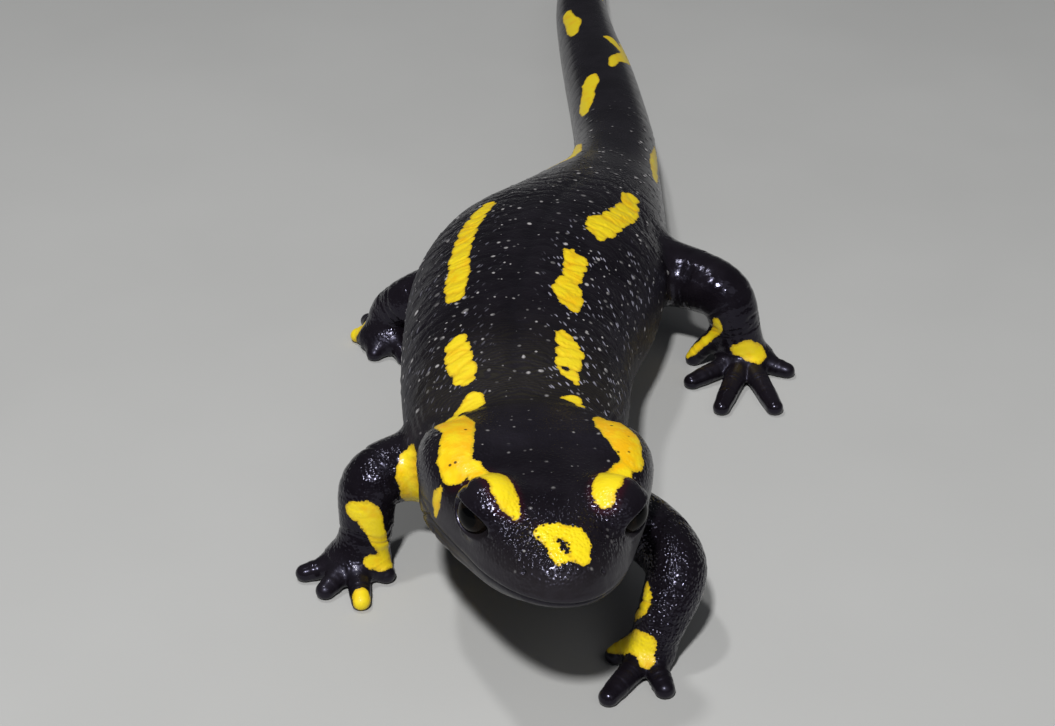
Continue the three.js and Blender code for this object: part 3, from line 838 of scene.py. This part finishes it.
def markings(p, shape):
    """How deep each point is inside the yellow, and inside the head's own patches.

    The third value is how far the skin of a limb is dulled beside its patches.
    """
    back = strokes_on(on_back, BACK_MARKS)
    head = strokes_on(lifted, HEAD_MARKS)
    cheek = np.array(CHEEK_MARK)
    cheek[:, :3] = from_head(cheek[:, :3])
    limbs = list(map(np.array, BODY_MARKS))
    face = stroke_depth(p, head + [cheek])
    depth = smax(stroke_depth(p, back + limbs), face, STROKE_BLEND)
    holes = stroke_depth(p, strokes_on(on_back, [BACK_HOLE]) + strokes_on(lifted, [NOSE_HOLE]))
    depth = np.minimum(depth, -holes)
    depth += 0.07 * ripple(p, 2.2, 31) + 0.04 * ripple(p, 0.8, 32)
    depth -= 0.26 * shape["notch"]
    near = stroke_depth(p, limbs, -4.5)
    dull = window(near, -3.8, 9, 2) * window(p[:, 2], -1, 2.6, 1.2) * shape["on_limb"]
    return depth, face, dull


shape, look = relief(points)
depth, face, dull = markings(points, shape)
raised = shape["out"] - 0.05 * shape["notch"] * np.clip(depth * 2, 0, 1)  # deeper in the yellow
points = points + normals_of(points, quads) * raised[:, None]
points[:, 2] = np.maximum(points[:, 2], 0)


def middle(node):
    """The middle of a node's box, in the source's millimetres."""
    box_low, box_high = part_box(node)
    return np.array((box_low + box_high) / 2) / MM


SHIFT = (middle("eye_left") + middle("eye_right")) / 2 - from_head(EYE_AT * [0, 1, 1])


def placed(points):
    """The source's millimetres as metres in the row frame."""
    return (points + SHIFT) * MM


def in_scene(name, data):
    made = bpy.data.objects.new(name, data)
    bpy.context.scene.collection.objects.link(made)
    return made


def finished(mesh, values):
    """The mesh's object, smooth and with named numbers at its vertices."""
    mesh.polygons.foreach_set("use_smooth", np.ones(len(mesh.polygons), bool))
    for key, value in values.items():
        layer = mesh.attributes.new(key, "FLOAT", "POINT")
        layer.data.foreach_set("value", np.asarray(value, np.float32))
    return in_scene(mesh.name, mesh)


def quad_mesh(name, points, quads):
    mesh = bpy.data.meshes.new(name)
    mesh.vertices.add(len(points))
    mesh.vertices.foreach_set("co", placed(points).astype(np.float32).ravel())
    mesh.loops.add(quads.size)
    mesh.loops.foreach_set("vertex_index", quads.astype(np.int32).ravel())
    mesh.polygons.add(len(quads))
    starts = np.arange(0, quads.size, quads.shape[1], dtype=np.int32)
    mesh.polygons.foreach_set("loop_start", starts)
    mesh.update(calc_edges=True)
    return mesh


aside, back, below = np.abs(shape["q"][:, 0]), shape["q"][:, 1], -shape["level"]
on_head, off_limbs = shape["on_head"], 1 - shape["on_limb"]
belly = window(below, 0.1, 3, 0.8) * off_limbs
neck = window(shape["t"], -30, -13, 6) * window(below, -0.6, 2, 0.7) * off_limbs
# The black turns dark red beside the patches over the eyes.
maroon = bell(face + 0.15, 0.35) * window(aside, 1.5, 9.5, 1) * window(back, -3.8, 4, 2)
look.update(
    yellow=depth,
    gland=window(back, 4, 19, 4) * window(aside, 4.5, 12, 1.5) * on_head,
    under=np.maximum(belly, 0.8 * neck),
    maroon=maroon * on_head,
    matt=np.maximum(look["matt"], 0.5 * dull),
)
skin = finished(quad_mesh("skin", points, quads), look)
flesh = [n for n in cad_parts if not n.startswith("eye_")]
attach(skin, "root")
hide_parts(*flesh)


# ---- eyeballs
CORNEA_BULGE, CORNEA_REACH = 0.22, math.radians(52)


def eyeball(side, sign):
    """A ball that faces out of the lids, with the cornea standing out at its front.

    Its attribute is the angle from the middle of the pupil.
    """
    rings, spokes = 64, 96
    polar = (np.arange(rings) + 0.5) / rings * math.pi
    turn = np.arange(spokes) / spokes * 2 * math.pi
    polar, turn = np.meshgrid(polar, turn, indexing="ij")
    far = EYE_RADIUS + CORNEA_BULGE * np.clip(1 - (polar / CORNEA_REACH) ** 2, 0, 1) ** 1.5
    c, s = np.cos(polar), np.sin(polar)
    ways = np.stack([s * np.cos(turn), c, s * np.sin(turn)], -1) @ OPENING_AXES
    points = (ways * far[..., None]).reshape(-1, 3)
    front = OPENING_AXES[1]
    points = np.vstack([points, front * (EYE_RADIUS + CORNEA_BULGE), -front * EYE_RADIUS])
    polar = np.append(polar, [0, math.pi])
    i, j = np.meshgrid(np.arange(rings - 1), np.arange(spokes), indexing="ij")
    n = (j + 1) % spokes
    faces = np.stack([i * spokes + j, (i + 1) * spokes + j, (i + 1) * spokes + n, i * spokes + n])
    faces = faces.reshape(4, -1).T.tolist()
    last, tip = (rings - 1) * spokes, rings * spokes
    for j in range(spokes):
        faces.append([tip, j, (j + 1) % spokes])
        faces.append([tip + 1, last + (j + 1) % spokes, last + j])
    if sign < 0:
        faces = [face[::-1] for face in faces]
    points = from_head((points + EYE_AT) * [sign, 1, 1])
    mesh = bpy.data.meshes.new("eyeball_" + side)
    mesh.from_pydata(placed(points).tolist(), [], faces)
    made = finished(mesh, {"polar": polar})
    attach(made, "root")
    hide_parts("eye_" + side)
    return made


eyeballs = [eyeball("left", 1), eyeball("right", -1)]


# ---- materials
class Nodes:
    """A short way to write a material's nodes."""

    def __init__(self, name):
        self.material = bpy.data.materials.new(name)
        self.material.use_nodes = True
        self.tree = self.material.node_tree
        self.shader = self.tree.nodes["Principled BSDF"]

    def node(self, kind, settings, *values, **inputs):
        """A node with values on its first sockets, in order, and on named ones."""
        made = self.tree.nodes.new("ShaderNode" + kind)
        for key, value in settings.items():
            setattr(made, key, value)
        for socket, value in zip(made.inputs, values):
            self.feed(socket, value)
        self.fill(made, inputs)
        return made

    def fill(self, node, inputs):
        for key, value in inputs.items():
            self.feed(node.inputs[key.replace("_", " ")], value)

    def feed(self, socket, value):
        if hasattr(value, "is_output"):
            self.tree.links.new(value, socket)
        else:
            socket.default_value = value

    def shade(self, **inputs):
        """The material, with these values and links on its shader."""
        self.fill(self.shader, inputs)
        return self.material

    def attribute(self, name):
        return self.node("Attribute", {"attribute_name": name}).outputs["Fac"]

    def math(self, operation, a, b=0.0, clamp=False):
        return self.node("Math", {"operation": operation, "use_clamp": clamp}, a, b).outputs[0]

    def plus(self, a, b):
        return self.math("ADD", a, b)

    def times(self, a, b):
        return self.math("MULTIPLY", a, b)

    def ramp(self, *values):
        """A smooth step: the value, its low and high, and what they become if not 0 and 1."""
        return self.node("MapRange", {"interpolation_type": "SMOOTHSTEP"}, *values).outputs[0]

    def mix(self, amount, *colours):
        made = self.node("Mix", {"data_type": "RGBA"}, amount)
        for socket, colour in zip(made.inputs[6:8], colours):
            self.feed(socket, (*colour, 1) if isinstance(colour, tuple) else colour)
        return made.outputs[2]

    def place(self):
        """The object's own coordinates, which are in metres."""
        return self.node("TexCoord", {}).outputs["Object"]

    def noise(self, per_mm, detail=3.0, roughness=0.55):
        made = self.node("TexNoise", {}, Vector=self.place(), Scale=per_mm / MM, Detail=detail,
                         Roughness=roughness)
        return made.outputs["Fac"]

    def cells(self, per_mm, smooth=0.4):
        made = self.node("TexVoronoi", {"feature": "SMOOTH_F1"}, Vector=self.place(),
                         Scale=per_mm / MM, Smoothness=smooth)
        return made.outputs["Distance"]

    def bump(self, height, depth_mm, strength, under=None):
        made = self.node("Bump", {}, Height=height, Distance=depth_mm * MM, Strength=strength)
        if under is not None:
            self.feed(made.inputs["Normal"], under)
        return made.outputs["Normal"]


# Colours, in linear light.
BLACKS = (0.0055, 0.0041, 0.006), (0.0095, 0.0076, 0.0105)
# Wart tips: pale, partly painted glints and partly dust. Wet flecks: painted glints, short pale
# strokes in place of highlights.
NAPE_BROWN, WART_GLINT_AND_DUST, PAINTED_GLINT = (0.022, 0.0195, 0.008), (0.5, 0.48, 0.48), (0.42, 0.41, 0.5)
BLACK_TINTS = {  # how much of which colour goes over the black, by attribute
    # The lips' lighter grey is partly their own tone and partly a painted reflection of the
    # floor.
    "lips": (0.8, (0.019, 0.0165, 0.0175)),
    "under": (0.6, (0.026, 0.022, 0.02)),
    "maroon": (0.4, (0.045, 0.004, 0.01)),
    # Painted shade: the black darker in the creases.
    "crease": (0.5, (0.003, 0.0025, 0.0035)),
}
YELLOW, ORANGE, PALE_YELLOW = (0.87, 0.67, 0.013), (0.87, 0.47, 0.004), (0.88, 0.7, 0.055)
# The groove orange is painted shade: the yellow darker and more orange in the grooves.
GROOVE_SHADE_ORANGE, RIM_YELLOW, PORE = (0.62, 0.3, 0.004), (0.62, 0.42, 0.012), (0.012, 0.009, 0.006)
PUPIL, IRIS, EYE_RIM = (0.0012, 0.0012, 0.0015), (0.006, 0.004, 0.003), (0.003, 0.0025, 0.0035)
IRIS_FLECK = (0.035, 0.021, 0.008)
NAPE_RING = 0.5  # millimetres from one brown line of the nape to the next


def skin_material():
    n = Nodes("skin")
    at = {name: n.attribute(name) for name in look}
    grain = n.cells(3.1)
    # Black with a violet cast, browner on the nape.
    black = n.mix(n.ramp(n.noise(0.25), 0.35, 0.65), *BLACKS)
    lines = n.plus(n.times(at["rings"], 2 * math.pi / NAPE_RING), n.times(n.noise(0.8), 9.0))
    lines = n.ramp(n.math("SINE", lines), -0.2, 0.9, 0.35, 1.0)
    black = n.mix(n.times(at["nape"], n.times(lines, 0.75)), black, NAPE_BROWN)
    for name, (amount, colour) in BLACK_TINTS.items():
        black = n.mix(n.times(at[name], amount), black, colour)
    # Pale tips on the warts: partly painted glints, partly dust.
    tip = n.ramp(at["wart"], 0.30, 0.75)
    tip = n.times(tip, n.ramp(n.noise(0.75, 1.0), 0.38, 0.62, 0.25, 1.0))
    black = n.mix(n.times(tip, 0.9), black, WART_GLINT_AND_DUST)
    # Painted glints: short pale strokes, in place of highlights on the wet skin, between the
    # wrinkles on the sides of the back.
    lay = n.node("CombineXYZ", {}, n.times(at["glint_long"], 0.8), n.times(at["glint_wide"], 2.6))
    cells = n.node("TexVoronoi", {"voronoi_dimensions": "2D"}, Vector=lay.outputs[0], Scale=1.0)
    number = n.node("SeparateColor", {}, cells.outputs["Color"]).outputs[0]
    reach = n.plus(n.ramp(number, 0.5, 1.0, 0.0, 0.3), 0.001)
    glint = n.ramp(n.math("DIVIDE", cells.outputs["Distance"], reach), 0.6, 1.1, 1.0, 0.0)
    glint = n.times(n.times(glint, at["painted_glints"]), n.ramp(n.noise(0.4, 1.0), 0.4, 0.55))
    black = n.mix(n.times(glint, 0.8), black, PAINTED_GLINT)
    # Yellow with orange clouds, most of all on the glands, and a darker orange painted in its
    # grooves as shade.
    warm = n.plus(n.noise(0.55, 2.0), n.times(at["gland"], 0.22))
    yellow = n.mix(n.ramp(warm, 0.45, 0.85), YELLOW, ORANGE)
    yellow = n.mix(n.ramp(n.noise(1.6), 0.55, 0.8, 0.0, 0.5), yellow, PALE_YELLOW)
    yellow = n.mix(n.times(at["crease"], 0.6), yellow, GROOVE_SHADE_ORANGE)
    # A patch's edge is feathered, and follows the grain where the skin is grainy.
    feather = n.times(n.plus(n.noise(5.0, 3.0, 0.7), -0.5), 0.34)
    pebbly = n.times(n.times(n.plus(n.ramp(grain, 0.1, 0.6), -0.5), 0.16), at["grain"])
    edge = n.plus(n.plus(at["yellow"], feather), pebbly)
    patch = n.ramp(edge, -0.04, 0.05)
    yellow = n.mix(n.ramp(edge, 0.02, 0.30), RIM_YELLOW, yellow)
    pores = n.times(n.ramp(n.cells(0.62, 0.0), 0.055, 0.12, 1.0, 0.0), at["gland"])
    yellow = n.mix(n.times(pores, 0.9), yellow, PORE)
    rough = n.ramp(n.noise(1.1), 0.3, 0.7, 0.19, 0.28)
    for where, rougher in ((patch, 0.14), (at["lips"], 0.14), (at["matt"], 0.4),
                           (at["gloss"], -0.09), (at["crease"], 0.12)):
        rough = n.math("ADD", rough, n.times(where, rougher), True)
    # The pebbly grain, fainter on the patches, and the finest grain over it.
    grainy = n.times(at["grain"], n.plus(n.times(patch, -0.55), 1.0))
    pebble = n.bump(n.times(n.ramp(grain, 0.0, 0.75, 1.0, 0.0), grainy), 0.095, 0.95)
    fine = n.times(n.noise(5.5, 4.0, 0.7), n.plus(n.times(grainy, 0.8), 0.2))
    normal = n.bump(fine, 0.02, 0.5, pebble)
    return n.shade(
        Base_Color=n.mix(patch, black, yellow), Roughness=rough, Normal=normal,
        Coat_Normal=normal, Specular_IOR_Level=0.3, Specular_Tint=(0.72, 0.70, 1.0, 1),
        Coat_Weight=0.1, Coat_Roughness=0.1, Coat_IOR=1.4,
    )


def eye_material():
    n = Nodes("eye")
    iris = n.mix(n.ramp(n.noise(7.0, 4.0, 0.7), 0.56, 0.74), IRIS, IRIS_FLECK)
    angle = n.plus(n.attribute("polar"), n.times(n.plus(n.noise(2.0), -0.5), 0.08))
    colour = n.mix(n.ramp(angle, 0.34, 0.40), PUPIL, iris)
    return n.shade(
        Base_Color=n.mix(n.ramp(angle, 0.72, 0.86), colour, EYE_RIM),
        Roughness=n.ramp(n.noise(3.0), 0.3, 0.7, 0.06, 0.12),
        Normal=n.bump(n.noise(6.0), 0.01, 0.3), Specular_IOR_Level=0.06,
        Coat_Weight=0.04, Coat_Roughness=0.03, Coat_IOR=1.33,
    )


def floor_material():
    n = Nodes("floor")
    return n.shade(
        Base_Color=n.mix(n.ramp(n.noise(0.02), 0.3, 0.7), (0.44, 0.44, 0.43), (0.46, 0.46, 0.45)),
        Roughness=n.ramp(n.noise(0.05), 0.3, 0.7, 0.75, 0.9),
        Normal=n.bump(n.noise(0.6), 0.03, 0.3),
    )


skin.data.materials.append(skin_material())
eye_look = eye_material()
for ball in eyeballs:
    ball.data.materials.append(eye_look)

# ---- stage, camera and light
floor_mesh = bpy.data.meshes.new("floor")
floor_mesh.from_pydata([(-3, -3, 0), (3, -3, 0), (3, 3, 0), (-3, 3, 0)], [], [(0, 1, 2, 3)])
floor_mesh.materials.append(floor_material())
floor = in_scene("floor", floor_mesh)

CAMERA_AT, CAMERA_DOWN, LENS = np.array([0.0, -178.3, 120.0]), math.radians(31.5), 74.3
camera_data = bpy.data.cameras.new("camera")
camera_data.lens = LENS
camera_data.sensor_width = 36
camera = in_scene("camera", camera_data)
camera.location = placed(CAMERA_AT)
camera.rotation_euler = (math.pi / 2 - CAMERA_DOWN, 0, 0)
bpy.context.scene.camera = camera


def area_light(name, away, aside, above, size, power):
    """A square light aimed at the head: degrees aside and above as seen from the front."""
    data = bpy.data.lights.new(name, "AREA")
    data.energy, data.size = power, size
    lamp = in_scene(name, data)
    aside, above = math.radians(aside), math.radians(above)
    way = Vector((
        math.sin(aside) * math.cos(above), -math.cos(aside) * math.cos(above), math.sin(above)
    ))
    lamp.location = Vector(placed(HEAD_AT)) + way * away
    lamp.rotation_euler = way.to_track_quat("Z", "Y").to_euler()


area_light("key", 0.45, -12, 57, 0.034, 2.0)
area_light("top", 0.5, -125, 72, 0.04, 0.6)
area_light("fill", 0.9, 40, 45, 0.5, 0.45)
world = bpy.data.worlds.new("world")
world.use_nodes = True
background = world.node_tree.nodes["Background"].inputs
background["Color"].default_value = (0.88, 0.92, 1.0, 1)
background["Strength"].default_value = 0.07
bpy.context.scene.world = world
bpy.context.scene.view_settings.view_transform = "Standard"
